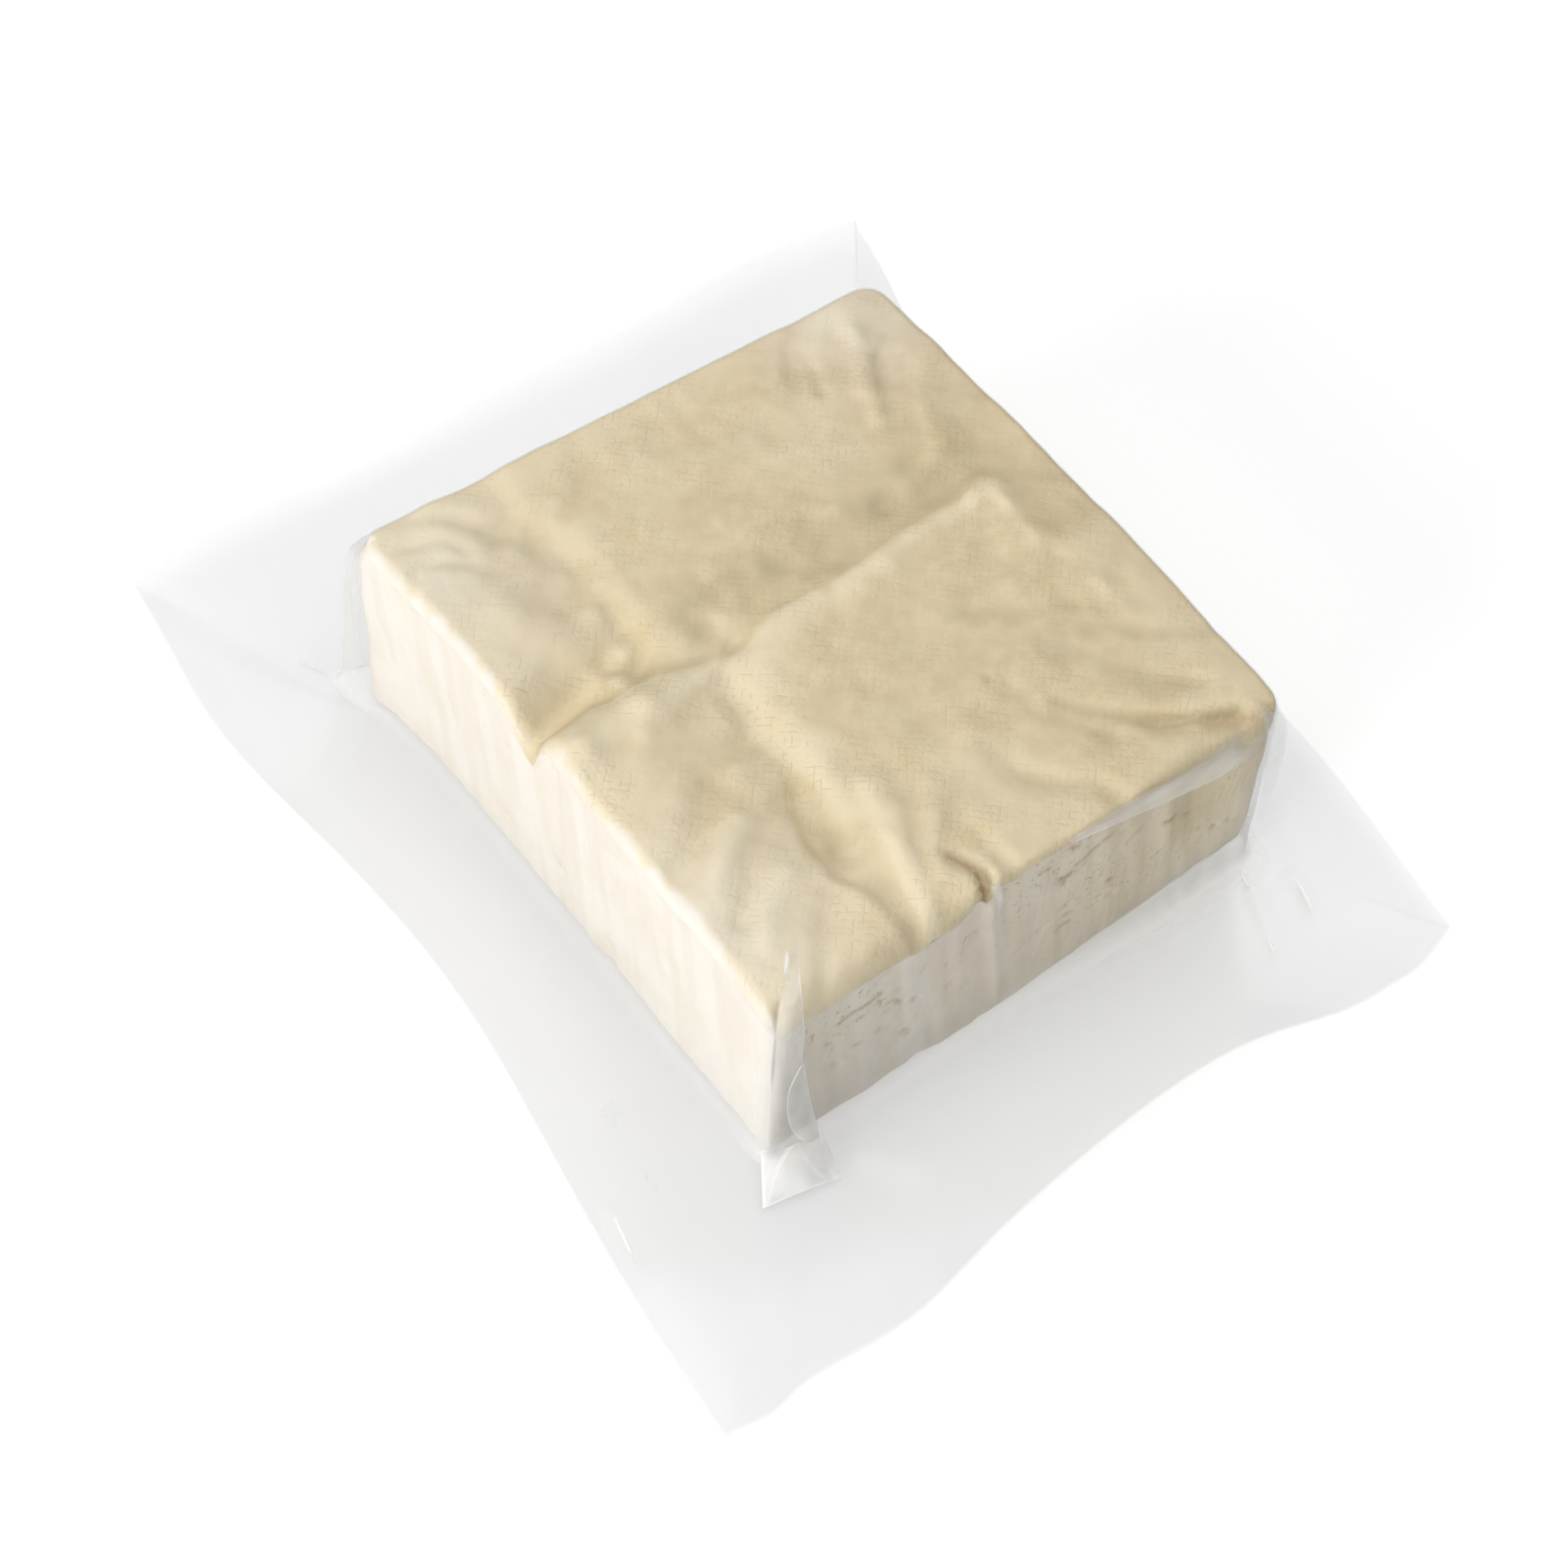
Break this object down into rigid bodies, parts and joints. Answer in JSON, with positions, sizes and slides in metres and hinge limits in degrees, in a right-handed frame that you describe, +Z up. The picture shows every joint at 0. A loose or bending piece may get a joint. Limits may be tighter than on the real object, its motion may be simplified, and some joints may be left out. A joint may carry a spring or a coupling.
{
  "type": "vacuum-packed tofu block",
  "caption": "Block of pressed tofu with a cloth-marked top, vacuum packed in a clear film pouch with a wide flat margin.",
  "frame": {"origin": "middle of the block's flat underside", "axes": "+Z up through the pack's thickness, +Y along the pouch's length, +X along its width"},
  "size_m": [0.165, 0.1905, 0.0452],
  "materials": {
    "pressed_tofu": "moist, cloth-marked, satin",
    "clear_film": "clear, glossy, softly wrinkled"
  },
  "bodies": {
    "root": {"tofu_pack": "pressed_tofu"}
  },
  "joints": []
}
